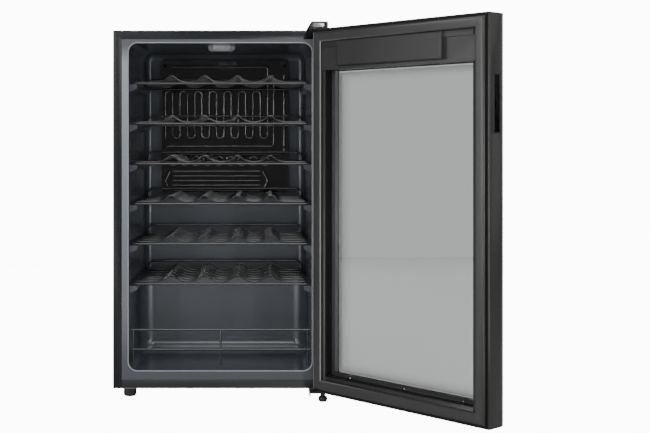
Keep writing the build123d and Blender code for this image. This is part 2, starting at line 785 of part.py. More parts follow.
# Door stiles: full height, rebated for the panes; the hinge stile holds the bushes
for name, start, rebate, outer_edge in (
    ("door_stile_hinge", 0, 0, 0),
    ("door_stile_handle", door_width - stile_width, door_width - rebate_width, door_width),
):
    with BuildPart() as stile:
        door_block((start, start + stile_width), (0, door_height), (pane_back, door_thickness))
        door_block((rebate, rebate + rebate_width), (0, door_height), (outer_pane, pane_back))
        corner = door_face.from_local_coords((outer_edge, 0, door_thickness))
        corner_edge = stile.edges().filter_by(Axis.Z).sort_by_distance(corner)[0]
        fillet(corner_edge, door_edge_radius)
        if name == "door_stile_hinge":
            for low, high in ((door_bottom, door_bottom + bush_depth), (door_top - bush_depth, door_top)):
                rod((hinge_x, hinge_y, low), (hinge_x, hinge_y, high), bush_radius, mode=Mode.SUBTRACT)
        else:
            door_block((door_width - pocket_depth, door_width),
                       (handle_bottom + 1, handle_top - 1),
                       (door_thickness - bezel_back - bezel_width + 2, door_thickness - bezel_back - 2),
                       mode=Mode.SUBTRACT)
    save(stile, name)

# Door rails: between the stiles, rebated in the same way
for name, low, rebate_low in (
    ("door_rail_bottom", 0, 0),
    ("door_rail_top", door_height - stile_width, door_height - rebate_width),
):
    with BuildPart() as rail:
        door_block((stile_width, door_width - stile_width), (low, low + stile_width),
                   (pane_back, door_thickness))
        door_block((rebate_width, door_width - rebate_width), (rebate_low, rebate_low + rebate_width),
                   (outer_pane, pane_back))
    save(rail, name)

# Panes: the outer one covers the whole front, the inner one sits in the rebate, a spacer between them
with BuildPart() as outer_glass:
    with BuildSketch(door_face):
        with Locations((door_width / 2, door_height / 2)):
            RectangleRounded(door_width, door_height, 3)
    extrude(amount=outer_pane)
save(outer_glass, "outer_glass")

pane_edge = rebate_width + pane_clearance
with BuildPart() as inner_glass:
    door_block((pane_edge, door_width - pane_edge), (pane_edge, door_height - pane_edge),
               (outer_pane + pane_space, pane_back))
save(inner_glass, "inner_glass")

with BuildPart() as glass_spacer:
    door_ring(pane_edge + spacer_edge, spacer_width, (outer_pane, outer_pane + pane_space))
save(glass_spacer, "glass_spacer")

# Glass bead: stepped strips that hold the inner pane at the sides and the bottom, with three screws
housing_low = door_height - gasket_edge - gasket_band - housing_height
bead_top = housing_low - rest_gap
with BuildPart() as glass_bead:
    for high, wide in ((bead_height, bead_width), (bead_height / 2, bead_width + bead_step)):
        deep = (pane_back, pane_back + high)
        door_block((stile_width, stile_width + wide), (stile_width, bead_top), deep)
        door_block((door_width - stile_width - wide, door_width - stile_width), (stile_width, bead_top), deep)
        door_block((stile_width, door_width - stile_width), (stile_width, stile_width + wide), deep)
save(glass_bead, "glass_bead")

screw_places = [0.2 * door_width, 0.52 * door_width, 0.84 * door_width]
with BuildPart() as retainer_screws:
    with BuildSketch(door_face.offset(pane_back + bead_height)):
        with Locations(*[(across, stile_width + bead_width / 2) for across in screw_places]):
            Circle(bead_width / 2)
    extrude(amount=1.6)
save(retainer_screws, "retainer_screws")

# Gasket: soft plastic ring with magnet strips inside, standing proud of the door's back
magnet_edge = gasket_edge + 4.0
magnet_low = door_thickness + gasket_proud - 1.2 - magnet_height
with BuildPart() as door_gasket:
    door_ring(gasket_edge, gasket_band, (door_thickness, door_thickness + gasket_proud), corner=2)
    crown = door_gasket.faces().sort_by(Axis(door_face.origin, door_face.z_dir))[-1]
    fillet(crown.edges(), 2.4)
    groove = gasket_edge + 0.5 * gasket_band
    door_ring(groove, 2, (door_thickness + 3, door_thickness + gasket_proud), mode=Mode.SUBTRACT)
    door_ring(magnet_edge - 0.2, magnet_width - 0.6, (magnet_low - 0.2, magnet_low + magnet_height + 0.2),
              mode=Mode.SUBTRACT)
save(door_gasket, "door_gasket")

with BuildPart() as gasket_magnets:
    door_ring(magnet_edge, magnet_width - 1, (magnet_low, magnet_low + magnet_height))
save(gasket_magnets, "gasket_magnets")

# Handle: a moulded cup with a bezel, pushed into the free edge of the door
bezel_deep = (door_thickness - bezel_back - bezel_width, door_thickness - bezel_back)
with BuildPart() as handle_insert:
    door_block((door_width, door_width + bezel_proud), (handle_bottom, handle_top), bezel_deep)
    door_block((door_width - pocket_depth, door_width), (handle_bottom + 1, handle_top - 1),
               (bezel_deep[0] + 2, bezel_deep[1] - 2))
    door_block((door_width - pocket_depth + slot_floor, door_width + bezel_proud),
               (handle_bottom + slot_end, handle_top - slot_end),
               (door_thickness - slot_back - slot_width, door_thickness - slot_back), mode=Mode.SUBTRACT)
save(handle_insert, "handle_insert")

# Control housing: a cover over the electronics at the top, its box reaching into the cabinet when shut
housing_high = door_height - gasket_edge - gasket_band - rest_gap
housing_across = (gasket_edge + gasket_band + rest_gap, door_width - gasket_edge - gasket_band - rest_gap)
box_up = (housing_low + 7, housing_high - 1)
with BuildPart() as control_housing:
    door_block(housing_across, (housing_low, housing_high), (door_thickness, door_thickness + housing_plate))
    door_block((stile_width, door_width - stile_width), (housing_low, housing_low + housing_plate),
               (pane_back, door_thickness))
    door_block((housing_hinge_space, housing_box_end), box_up,
               (door_thickness, door_thickness + housing_proud))
    for across in ((housing_across[0] + 4, housing_hinge_space), (housing_box_end, housing_across[1] - 4)):
        door_block(across, (housing_high - lip_height, housing_high),
                   (door_thickness, door_thickness + housing_plate + bead_step))
    crown = control_housing.faces().sort_by(Axis(door_face.origin, door_face.z_dir))[-1]
    fillet(crown.edges(), 3)
    door_block((housing_hinge_space + 2, housing_box_end - 2),
               (box_up[0] + 2, door_height - stile_width - rest_gap),
               (door_thickness - 1, door_thickness + housing_proud - 2), mode=Mode.SUBTRACT)
save(control_housing, "control_housing")

board_up = (housing_low + 12.0, housing_low + 42.0)
board_reach = 70.0
display_reach = 30.0
display_height = 8.0
display_margin = 5.0
with BuildPart() as control_board:
    door_block((door_width / 2 - board_reach, door_width / 2 + board_reach), board_up,
               (pane_back + display_height, pane_back + display_height + board_sheet))
    door_block((door_width / 2 - display_reach, door_width / 2 + display_reach),
               (board_up[0] + display_margin, board_up[1] - display_margin),
               (pane_back, pane_back + display_height))
save(control_board, "control_board")

# Hinge bushes: plastic sleeves in both ends of the hinge stile
pin_length = bush_depth - 3.0
with BuildPart() as hinge_bushes:
    for low, high in ((door_bottom, door_bottom + bush_depth), (door_top - bush_depth, door_top)):
        rod((hinge_x, hinge_y, low), (hinge_x, hinge_y, high), bush_radius)
        rod((hinge_x, hinge_y, low), (hinge_x, hinge_y, high), pin_radius + pin_running_gap,
            mode=Mode.SUBTRACT)
save(hinge_bushes, "hinge_bushes")

# Top hinge: steel plate on the cabinet with a pin down into the door, a front lip, and a plastic cover
bracket_x = (half_width - cover_width + 5, half_width - 4)
bracket_back = front + 52.0
bracket_front = hinge_y - 14.0
screw_radius = 4.2
screw_head = 2.6
lip_sheet = 2.0
lip_rise = 13.0
with BuildPart() as top_hinge_bracket:
    block(bracket_x, (bracket_front, bracket_back), (top, top + plate))
    block((bracket_x[0] + 6, bracket_x[1] - 4), (bracket_front, bracket_front + lip_sheet),
          (top + plate, top + lip_rise))
    rod((hinge_x, hinge_y, door_top - pin_length), (hinge_x, hinge_y, top), pin_radius)
save(top_hinge_bracket, "top_hinge_bracket")

cover_x = (half_width - sheet - cover_width, half_width - sheet)
cover_wall = 1.6
cover_back = bracket_back + 4.0
cover_front = bracket_front - 2.4
cover_slope = 10.0
cover_round = 2.4
cover_top = top + cover_height
window_z = (top + 4.0, top + 12.5)
with BuildPart() as top_hinge_cover:
    slope = [(cover_x[0], top), (cover_x[0] + cover_slope, cover_top), (cover_x[1], cover_top),
             (cover_x[1], top)]
    prism(slope, Plane.XZ.offset(-cover_back), cover_back - cover_front)
    fillet(top_hinge_cover.edges().filter_by(Axis.Y).group_by(Axis.Z)[-1], cover_round)
    hollow = [(cover_x[0] + 2, top), (cover_x[0] + cover_slope + cover_wall, cover_top - cover_wall),
              (cover_x[1] - cover_wall, cover_top - cover_wall), (cover_x[1] - cover_wall, top)]
    prism(hollow, Plane.XZ.offset(cover_wall - cover_back), cover_back - cover_front - 2 * cover_wall,
          mode=Mode.SUBTRACT)
    block((bracket_x[0] + 8, bracket_x[1] - 6), (cover_front, cover_front + 2 * cover_wall), window_z,
          mode=Mode.SUBTRACT)
save(top_hinge_cover, "top_hinge_cover")

# Bottom hinge: steel plate with a gusset and a pin up into the door; the right foot's stud ends in the plate
foot_stud_top = bottom - rest_gap
gusset_y = (hinge_y - 8.0, front + 40.0)
gusset_drop = 9.0
with BuildPart() as bottom_hinge_bracket:
    block(bracket_x, (bracket_front, bracket_back), (bottom - plate, bottom))
    gusset = [(gusset_y[1], bottom - plate), (gusset_y[1], bottom - plate - 1),
              (gusset_y[0] + 4, bottom - plate - gusset_drop), (gusset_y[0], bottom - plate)]
    prism(gusset, Plane.YZ.offset(bracket_x[0]), plate)
    rod((hinge_x, hinge_y, bottom), (hinge_x, hinge_y, door_bottom + pin_length), pin_radius)
    rod((hinge_x, hinge_y, bottom - plate), (hinge_x, hinge_y, bottom), foot_stud + stud_gap,
        mode=Mode.SUBTRACT)
save(bottom_hinge_bracket, "bottom_hinge_bracket")

screw_rows = (front + 14.0, front + 40.0)
screw_columns = (hinge_x - 22.0, hinge_x - 4.0)
with BuildPart() as hinge_screws:
    for y in screw_rows:
        for x in screw_columns:
            rod((x, y, top + plate), (x, y, top + plate + screw_head), screw_radius)
            rod((x, y, bottom - plate - screw_head), (x, y, bottom - plate), screw_radius)
save(hinge_screws, "hinge_screws")

# Front feet: plastic pads on threaded studs that screw in and out
with BuildPart() as front_left_foot:
    with BuildSketch(Plane.XZ.offset(-foot_y)):
        with BuildLine():
            Polyline((foot_x, 0), (foot_x + foot_radius - foot_bevel, 0), (foot_x + foot_radius, foot_bevel),
                     (foot_x + foot_radius, bottom - rest_gap - foot_bevel),
                     (foot_x + foot_radius - foot_bevel, bottom - rest_gap),
                     (foot_x + foot_stud, bottom - rest_gap), (foot_x + foot_stud, stud_top),
                     (foot_x, stud_top), close=True)
        make_face()
    revolve(axis=Axis((foot_x, foot_y, 0), (0, 0, 1)))
save(front_left_foot, "front_left_foot")

nut_top = bottom - plate - 1.0
with BuildPart() as front_right_foot:
    with BuildSketch(Plane.XZ.offset(-hinge_y)):
        with BuildLine():
            Polyline((hinge_x, 0), (hinge_x + hinge_foot_radius - foot_bevel, 0),
                     (hinge_x + hinge_foot_radius, foot_bevel),
                     (hinge_x + hinge_foot_radius, hinge_foot_height - foot_bevel),
                     (hinge_x + hinge_foot_radius - foot_bevel, hinge_foot_height),
                     (hinge_x + hinge_foot_hex, hinge_foot_height), (hinge_x + hinge_foot_hex, nut_top),
                     (hinge_x + foot_stud, nut_top), (hinge_x + foot_stud, foot_stud_top),
                     (hinge_x, foot_stud_top), close=True)
        make_face()
    revolve(axis=Axis((hinge_x, hinge_y, 0), (0, 0, 1)))
save(front_right_foot, "front_right_foot")

with BuildPart() as rear_feet:
    with BuildSketch():
        with Locations((half_width - 40, back - 34), (40 - half_width, back - 34)):
            Circle(foot_radius - 2)
    extrude(amount=bottom)
save(rear_feet, "rear_feet")
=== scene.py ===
"""Free-standing wine cooler with its door open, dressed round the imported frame. Units are metres."""
import json
import math

import bmesh
import bpy
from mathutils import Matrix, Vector

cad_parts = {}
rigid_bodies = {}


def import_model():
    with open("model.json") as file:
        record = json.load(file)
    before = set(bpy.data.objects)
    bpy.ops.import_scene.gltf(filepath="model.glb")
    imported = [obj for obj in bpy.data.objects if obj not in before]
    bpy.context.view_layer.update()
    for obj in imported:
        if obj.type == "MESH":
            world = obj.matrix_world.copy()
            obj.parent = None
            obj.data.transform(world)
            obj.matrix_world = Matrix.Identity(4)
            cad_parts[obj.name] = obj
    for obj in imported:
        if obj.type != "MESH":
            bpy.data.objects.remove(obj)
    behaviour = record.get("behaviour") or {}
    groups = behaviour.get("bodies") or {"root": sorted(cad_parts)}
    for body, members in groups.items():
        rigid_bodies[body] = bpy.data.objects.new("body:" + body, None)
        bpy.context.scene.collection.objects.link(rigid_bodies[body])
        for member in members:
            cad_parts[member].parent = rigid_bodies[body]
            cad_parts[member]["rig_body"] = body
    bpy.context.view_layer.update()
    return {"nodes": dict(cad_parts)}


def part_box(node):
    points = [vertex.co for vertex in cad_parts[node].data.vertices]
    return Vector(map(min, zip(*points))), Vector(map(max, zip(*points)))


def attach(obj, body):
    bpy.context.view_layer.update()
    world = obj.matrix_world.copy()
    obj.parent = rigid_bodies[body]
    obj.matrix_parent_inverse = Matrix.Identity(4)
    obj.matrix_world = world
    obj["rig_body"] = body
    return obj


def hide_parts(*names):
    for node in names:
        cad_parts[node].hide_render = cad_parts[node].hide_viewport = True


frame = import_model()
nodes = frame["nodes"]

# ---------------------------------------------------------------- studio
# A pale floor under a seamless pale surround. An overhead box, tall boxes and strips at the sides, a box behind
# and soft fills in front light the cabinet. Two glow boxes and two floor sheets are seen only in reflections.


def placed(name, data):
    """A new object in the scene, at the origin, unrotated and unscaled."""
    piece = bpy.data.objects.new(name, data)
    bpy.context.scene.collection.objects.link(piece)
    return piece


floor_size, floor_drop = 6.2, 0.0005
floor_mesh = bpy.data.meshes.new("studio_floor")
floor_shape = bmesh.new()
bmesh.ops.create_grid(floor_shape, x_segments=1, y_segments=1, size=floor_size / 2)
floor_shape.to_mesh(floor_mesh)
floor_shape.free()
studio_floor = placed("studio_floor", floor_mesh)
studio_floor.location = (0, 0, -floor_drop)

room_light = 0.09
backdrop_seen = 12.0
backdrop_through_glass = 1.15
floor_seen_share, floor_glass_share = 0.95, 0.77


def brightness(tree, seen, through_glass, elsewhere):
    """A strength that differs for the lens, for what glass lets through, and for light and reflections."""
    path = tree.nodes.new("ShaderNodeLightPath")
    lens = tree.nodes.new("ShaderNodeMath")
    lens.operation = "MULTIPLY_ADD"
    lens.inputs[1].default_value = seen - elsewhere
    lens.inputs[2].default_value = elsewhere
    pane = tree.nodes.new("ShaderNodeMath")
    pane.operation = "MULTIPLY_ADD"
    pane.inputs[1].default_value = through_glass - elsewhere
    tree.links.new(path.outputs["Is Camera Ray"], lens.inputs[0])
    tree.links.new(path.outputs["Is Transmission Ray"], pane.inputs[0])
    tree.links.new(lens.outputs["Value"], pane.inputs[2])
    return pane.outputs["Value"]


pale = bpy.data.materials.new("studio_pale")
pale.use_nodes = True
pale_shader = pale.node_tree.nodes["Principled BSDF"]
pale_shader.inputs["Base Color"].default_value = (0.5, 0.5, 0.5, 1)
pale_shader.inputs["Roughness"].default_value = 0.9
pale_shader.inputs["Emission Color"].default_value = (1.0, 1.0, 1.0, 1)
floor_seen, floor_through_glass = floor_seen_share * backdrop_seen, floor_glass_share * backdrop_through_glass
pale.node_tree.links.new(
    brightness(pale.node_tree, floor_seen, floor_through_glass, 0.0), pale_shader.inputs["Emission Strength"])
floor_mesh.materials.append(pale)

surround = bpy.data.worlds.new("surround")
surround.use_nodes = True
surround_light = surround.node_tree.nodes["Background"]
surround_light.inputs["Color"].default_value = (1.0, 1.0, 1.0, 1)
surround.node_tree.links.new(
    brightness(surround.node_tree, backdrop_seen, backdrop_through_glass, room_light),
    surround_light.inputs["Strength"])
bpy.context.scene.world = surround


def softbox(name, place, aim, width, height, power, hidden_from=()):
    """Hang a rectangular light that faces a point; some kinds of ray can be kept from seeing it."""
    light = bpy.data.lights.new(name, "AREA")
    light.shape = "RECTANGLE"
    light.size, light.size_y, light.energy = width, height, power
    lamp = placed(name, light)
    lamp.location = place
    lamp.rotation_euler = (Vector(aim) - Vector(place)).to_track_quat("-Z", "Y").to_euler()
    for ray in hidden_from:
        setattr(lamp, "visible_" + ray, False)


all_but_reflections = ("diffuse", "camera", "transmission")
softbox("overhead_box", (0.1, -1.0, 2.7), (0.1, 0, 0.5), 2.0, 1.4, 34)
softbox("left_box", (-2.7, -1.3, 0.9), (0.1, 0, 0.45), 0.6, 2.2, 30)
softbox("left_strip", (-1.25, -2.7, 0.95), (0.0, 0.1, 0.5), 0.10, 1.9, 20)
softbox("right_strip", (1.35, -2.6, 0.95), (0.0, 0.1, 0.5), 0.10, 1.9, 20)
softbox("front_fill", (0.2, -3.4, 2.3), (0.0, 0, 0.30), 1.4, 0.6, 20)
softbox("right_box", (2.9, -0.6, 0.9), (0.5, -0.3, 0.45), 0.6, 2.2, 5)
softbox("back_box", (-0.7, 2.6, 0.9), (0.0, 0.2, 0.35), 1.4, 1.4, 22, ("transmission",))
softbox("low_fill", (-0.1, -2.9, 0.2), (0.0, 0, 0.15), 0.6, 0.3, 19, ("glossy",))
softbox("left_glow", (-1.75, -2.2, 0.75), (0.2, 0.1, 0.4), 0.7, 1.6, 16, all_but_reflections)
softbox("right_glow", (1.7, -2.2, 0.3), (0.0, 0.2, 0.2), 1.4, 0.4, 9, all_but_reflections)
softbox("left_sheet", (-0.85, -1.35, 0.004), (-0.85, -1.35, 1.0), 1.0, 1.0, 10, all_but_reflections)
softbox("right_sheet", (0.85, -1.35, 0.004), (0.85, -1.35, 1.0), 1.0, 1.0, 10, all_but_reflections)

camera_data = bpy.data.cameras.new("camera")
camera_data.lens = 65.2
camera_data.sensor_width = 36.0
camera_data.shift_x = 0.0954
camera_data.shift_y = -0.1123
camera = placed("camera", camera_data)
camera_across, camera_distance, camera_height = 0.0956, 2.633, 0.571
camera.location = (camera_across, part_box("top_panel")[0].y - camera_distance, camera_height)
camera.rotation_euler = (math.pi / 2, 0, 0)
bpy.context.scene.camera = camera

# ---------------------------------------------------------------- cabinet wrap
# Two side panels and a top panel in pre-painted steel, folded at the front with mitred corners. The paint is a
# near-black satin with a very fine orange peel, and the folded edges are rounded by the sheet's bend.


def shader_of(material):
    """The material's main shader."""
    return material.node_tree.nodes["Principled BSDF"]


def finish(name, dark, light, roughness, grain=900.0, relief=0.02, cloud=6.0, metallic=0.0, specular=0.5,
           coat=0.0):
    """A material whose colour drifts softly between two tones, with a fine grain in gloss and relief."""
    gloss_spread, relief_depth = 0.15, 0.0001
    material = bpy.data.materials.new(name)
    material.use_nodes = True
    tree = material.node_tree
    shader = shader_of(material)
    place = tree.nodes.new("ShaderNodeTexCoord")
    drift = tree.nodes.new("ShaderNodeTexNoise")
    drift.inputs["Scale"].default_value = cloud
    drift.inputs["Detail"].default_value = 4.0
    tones = tree.nodes.new("ShaderNodeValToRGB")
    tones.color_ramp.elements[0].position = 0.3
    tones.color_ramp.elements[1].position = 0.7
    tones.color_ramp.elements[0].color = (*dark, 1)
    tones.color_ramp.elements[1].color = (*light, 1)
    fine = tree.nodes.new("ShaderNodeTexNoise")
    fine.inputs["Scale"].default_value = grain
    fine.inputs["Detail"].default_value = 2.0
    gloss = tree.nodes.new("ShaderNodeMapRange")
    gloss.inputs["To Min"].default_value = roughness * (1 - gloss_spread)
    gloss.inputs["To Max"].default_value = min(1.0, roughness * (1 + gloss_spread))
    bump = tree.nodes.new("ShaderNodeBump")
    bump.inputs["Strength"].default_value = relief * 10
    bump.inputs["Distance"].default_value = relief_depth
    tree.links.new(place.outputs["Object"], drift.inputs["Vector"])
    tree.links.new(place.outputs["Object"], fine.inputs["Vector"])
    tree.links.new(drift.outputs["Fac"], tones.inputs["Fac"])
    tree.links.new(tones.outputs["Color"], shader.inputs["Base Color"])
    tree.links.new(fine.outputs["Fac"], gloss.inputs["Value"])
    tree.links.new(gloss.outputs["Result"], shader.inputs["Roughness"])
    tree.links.new(fine.outputs["Fac"], bump.inputs["Height"])
    tree.links.new(bump.outputs["Normal"], shader.inputs["Normal"])
    shader.inputs["Metallic"].default_value = metallic
    shader.inputs["Specular IOR Level"].default_value = specular
    shader.inputs["Coat Weight"].default_value = coat
    return material


def rounded(name, material, width):
    """A copy of a CAD part with its doubles merged and its edges rounded, standing for it."""
    merge_reach, flat_angle, edge_angle = 1e-6, math.radians(0.5), math.radians(30.0)
    shape = bmesh.new()
    shape.from_mesh(nodes[name].data)
    bmesh.ops.remove_doubles(shape, verts=shape.verts, dist=merge_reach)
    bmesh.ops.dissolve_limit(shape, angle_limit=flat_angle, verts=shape.verts, edges=shape.edges)
    mesh = bpy.data.meshes.new(name + "_finished")
    shape.to_mesh(mesh)
    shape.free()
    mesh.materials.append(material)
    piece = placed(name + "_finished", mesh)
    bevel = piece.modifiers.new("edges", "BEVEL")
    bevel.width = width
    bevel.segments = 2
    bevel.limit_method = "ANGLE"
    bevel.angle_limit = edge_angle
    bevel.harden_normals = True
    mesh.shade_smooth()
    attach(piece, nodes[name]["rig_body"])
    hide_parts(name)


wrap_paint = finish(
    "wrap_paint", (0.007, 0.008, 0.010), (0.010, 0.011, 0.013), 0.28, grain=1400, relief=0.012, specular=0.35)
for name in ("side_panel_left", "side_panel_right", "top_panel"):
    rounded(name, wrap_paint, 0.0006)

# ---------------------------------------------------------------- front sill
# The cross rail under the opening, folded from the same pre-painted sheet and fixed between the two side panels.
# It is painted a shade lighter than the panels as painted light: a lit copy of the same satin.
# Painted light: the sill is a lighter copy of the panels' paint.
sill_lit_paint = finish("sill_lit_paint", (0.012, 0.013, 0.015), (0.017, 0.018, 0.020), 0.4, grain=1400, relief=0.012)
rounded("front_sill", sill_lit_paint, 0.0004)

# ---------------------------------------------------------------- back, bay and base
# Bare zinc-coated sheet: the back panel, the walls of the compressor bay and the base pan. The coating shows a
# spangle of large pale crystals.


def dress(material, *names):
    """Give CAD parts their material."""
    for name in names:
        mesh = nodes[name].data
        mesh.materials.clear()
        mesh.materials.append(material)


def spangle(name):
    """Hot-dip zinc: crystal-shaped patches that differ in tone and gloss."""
    material = finish(name, (0.30, 0.31, 0.32), (0.44, 0.45, 0.46), 0.42, grain=700, relief=0.01, metallic=0.9)
    tree = material.node_tree
    shader = shader_of(material)
    place = tree.nodes["Texture Coordinate"]
    crystals = tree.nodes.new("ShaderNodeTexVoronoi")
    crystals.inputs["Scale"].default_value = 70.0
    crystals.inputs["Randomness"].default_value = 1.0
    tones = tree.nodes.new("ShaderNodeValToRGB")
    tones.color_ramp.elements[0].color = (0.27, 0.28, 0.29, 1)
    tones.color_ramp.elements[1].color = (0.47, 0.48, 0.49, 1)
    tree.links.new(place.outputs["Object"], crystals.inputs["Vector"])
    tree.links.new(crystals.outputs["Color"], tones.inputs["Fac"])
    tree.links.new(tones.outputs["Color"], shader.inputs["Base Color"])
    return material


dress(spangle("zinc_sheet"), "back_panel", "bay_walls", "base_pan")

# ---------------------------------------------------------------- insulation
# Polyurethane foam, poured between the wrap and the liner and hidden on the finished cabinet. It is pale yellow
# with fine closed cells.
foam = finish("foam", (0.72, 0.62, 0.36), (0.83, 0.75, 0.50), 0.85, grain=500, relief=0.1, cloud=20)
dress(foam, "foam_sides", "foam_top", "foam_floor", "foam_step", "foam_back", "ledge_cores")

# ---------------------------------------------------------------- liner
# One vacuum-formed shell in dark grey plastic: flange, rim, walls with shelf ledges, and the step over the
# compressor. Forming leaves it smooth with a soft gloss. The flange's front face carries a painted highlight,
# lightest near its upper end.
liner_plastic = finish(
    "liner_plastic", (0.050, 0.056, 0.066), (0.060, 0.067, 0.078), 0.22, grain=1300, relief=0.004, cloud=3.0)
liner_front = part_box("inner_liner")[0].y
# Painted highlight: the flange's front face is lightened upwards from its foot, brightest near its top.
flange_skin, flange_foot, flange_top = 0.0006, 0.08, 0.79
liner_tree = liner_plastic.node_tree
flange_split = liner_tree.nodes.new("ShaderNodeSeparateXYZ")
flange_sheen_mask = liner_tree.nodes.new("ShaderNodeMath")
flange_sheen_mask.operation = "LESS_THAN"
flange_sheen_mask.inputs[1].default_value = liner_front + flange_skin
flange_sheen_mix = liner_tree.nodes.new("ShaderNodeMix")
flange_sheen_mix.data_type = "RGBA"
flange_sheen_fade = liner_tree.nodes.new("ShaderNodeMapRange")
flange_sheen_fade.inputs["From Min"].default_value = flange_foot
flange_sheen_fade.inputs["From Max"].default_value = flange_top
flange_painted_highlight = liner_tree.nodes.new("ShaderNodeValToRGB")
flange_painted_highlight.color_ramp.elements[0].color = (0.062, 0.067, 0.075, 1)
flange_painted_highlight.color_ramp.elements[1].color = (0.095, 0.100, 0.108, 1)
flange_painted_highlight.color_ramp.elements.new(0.94).color = (0.27, 0.285, 0.305, 1)
liner_tree.links.new(liner_tree.nodes["Texture Coordinate"].outputs["Object"], flange_split.inputs["Vector"])
liner_tree.links.new(flange_split.outputs["Y"], flange_sheen_mask.inputs[0])
liner_tree.links.new(flange_split.outputs["Z"], flange_sheen_fade.inputs["Value"])
liner_tree.links.new(flange_sheen_fade.outputs["Result"], flange_painted_highlight.inputs["Fac"])
liner_tree.links.new(flange_painted_highlight.outputs["Color"], flange_sheen_mix.inputs[7])
liner_tree.links.new(flange_sheen_mask.outputs["Value"], flange_sheen_mix.inputs[0])
liner_tree.links.new(liner_tree.nodes["Color Ramp"].outputs["Color"], flange_sheen_mix.inputs[6])
liner_tree.links.new(flange_sheen_mix.outputs[2], shader_of(liner_plastic).inputs["Base Color"])
dress(liner_plastic, "inner_liner")

# ---------------------------------------------------------------- shelves and bottle guard
# Round steel wire, bent and spot-welded, then dipped in black paint that leaves a smooth gloss with small runs
# along the wires. The six shelves slide on the liner's ledges; the guard stands across the lower bay.
wire_paint = finish(
    "wire_paint", (0.006, 0.006, 0.006), (0.010, 0.010, 0.010), 0.15, grain=320, relief=0.05, cloud=40,
    specular=0.8, coat=0.8)
dress(wire_paint, "bottle_guard", *[name for name in nodes if name.startswith("shelf_")])

# ---------------------------------------------------------------- evaporator
# Two aluminium sheets rolled together and blown up along the refrigerant's path, painted gloss black. The path
# is a hairpin serpentine over a header of round cells and long return channels at the foot.
plate_low, plate_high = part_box("evaporator_plate")
plate_width, plate_height = plate_high.x - plate_low.x, plate_high.z - plate_low.z
plate_paint = finish(
    "plate_paint", (0.004, 0.004, 0.005), (0.008, 0.008, 0.009), 0.10, grain=500, specular=0.9, coat=1.0)


def baked(source, name):
    """The evaluated shape of an object as a plain mesh object; the source is removed."""
    bpy.context.view_layer.update()
    graph = bpy.context.evaluated_depsgraph_get()
    mesh = bpy.data.meshes.new_from_object(source.evaluated_get(graph))
    mesh.name = name
    worn = [material for material in mesh.materials if material]
    mesh.materials.clear()
    for material in worn:
        mesh.materials.append(material)
    mesh.polygons.foreach_set("material_index", [0] * len(mesh.polygons))
    bpy.data.objects.remove(source)
    return placed(name, mesh)


def grown(name, data, start, inputs, build, material, body):
    """A piece made by a node tree from a curve or a cloud of points.

    The tree takes the start geometry and the named inputs, each a kind of socket and its value. The build
    function joins the nodes between them and the end, which makes one real mesh and gives it its material.
    """
    source = placed(name + "_start", data)
    tree = bpy.data.node_groups.new(name, "GeometryNodeTree")
    face = tree.interface
    face.new_socket(start, in_out="INPUT", socket_type="NodeSocketGeometry")
    values = {}
    for label, kind, value in (*inputs, ("Finish", "Material", material)):
        values[face.new_socket(label, in_out="INPUT", socket_type="NodeSocket" + kind).identifier] = value
    face.new_socket("Piece", in_out="OUTPUT", socket_type="NodeSocketGeometry")
    entry, leave = tree.nodes.new("NodeGroupInput"), tree.nodes.new("NodeGroupOutput")
    solid = tree.nodes.new("GeometryNodeRealizeInstances")
    paint = tree.nodes.new("GeometryNodeSetMaterial")
    tree.links.new(build(tree, entry.outputs), solid.inputs["Geometry"])
    tree.links.new(solid.outputs["Geometry"], paint.inputs["Geometry"])
    tree.links.new(entry.outputs["Finish"], paint.inputs["Material"])
    tree.links.new(paint.outputs["Geometry"], leave.inputs["Piece"])
    modifier = source.modifiers.new("grow", "NODES")
    modifier.node_group = tree
    for identifier, value in values.items():
        modifier[identifier] = value
    piece = baked(source, name)
    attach(piece, body)
    return piece


def beads(name, runs, radius, material, body, bend=0.0, sides=12):
    """Round beads along straight runs joined by bends, as one closed mesh."""
    bend_steps = 7
    curve = bpy.data.curves.new(name, "CURVE")
    curve.dimensions = "3D"
    for run in runs:
        spline = curve.splines.new("POLY")
        spline.points.add(len(run) - 1)
        for point, place in zip(spline.points, run):
            point.co = (*place, 1)

    def build(tree, given):
        turns = tree.nodes.new("GeometryNodeFilletCurve")
        turns.mode = "POLY"
        turns.inputs["Count"].default_value = bend_steps
        ring = tree.nodes.new("GeometryNodeCurvePrimitiveCircle")
        tube = tree.nodes.new("GeometryNodeCurveToMesh")
        tube.inputs["Fill Caps"].default_value = True
        smooth = tree.nodes.new("GeometryNodeSetShadeSmooth")
        tree.links.new(given["Path"], turns.inputs["Curve"])
        tree.links.new(given["Bend Radius"], turns.inputs["Radius"])
        tree.links.new(given["Bead Radius"], ring.inputs["Radius"])
        tree.links.new(given["Sides"], ring.inputs["Resolution"])
        tree.links.new(turns.outputs["Curve"], tube.inputs["Curve"])
        tree.links.new(ring.outputs["Curve"], tube.inputs["Profile Curve"])
        tree.links.new(tube.outputs["Mesh"], smooth.inputs["Geometry"])
        return smooth.outputs["Geometry"]

    sizes = (("Bead Radius", "Float", radius), ("Bend Radius", "Float", bend), ("Sides", "Int", sides))
    return grown(name, curve, "Path", sizes, build, material, body)


channel_radius, channel_bend, channel_sunk_share = 0.0034, 0.0088, 0.25
channel_y = plate_low.y + channel_radius * channel_sunk_share


def on_plate(across, up):
    """A point on a channel's middle line, from the plate's lower left corner."""
    return plate_low.x + across, channel_y, plate_low.z + up


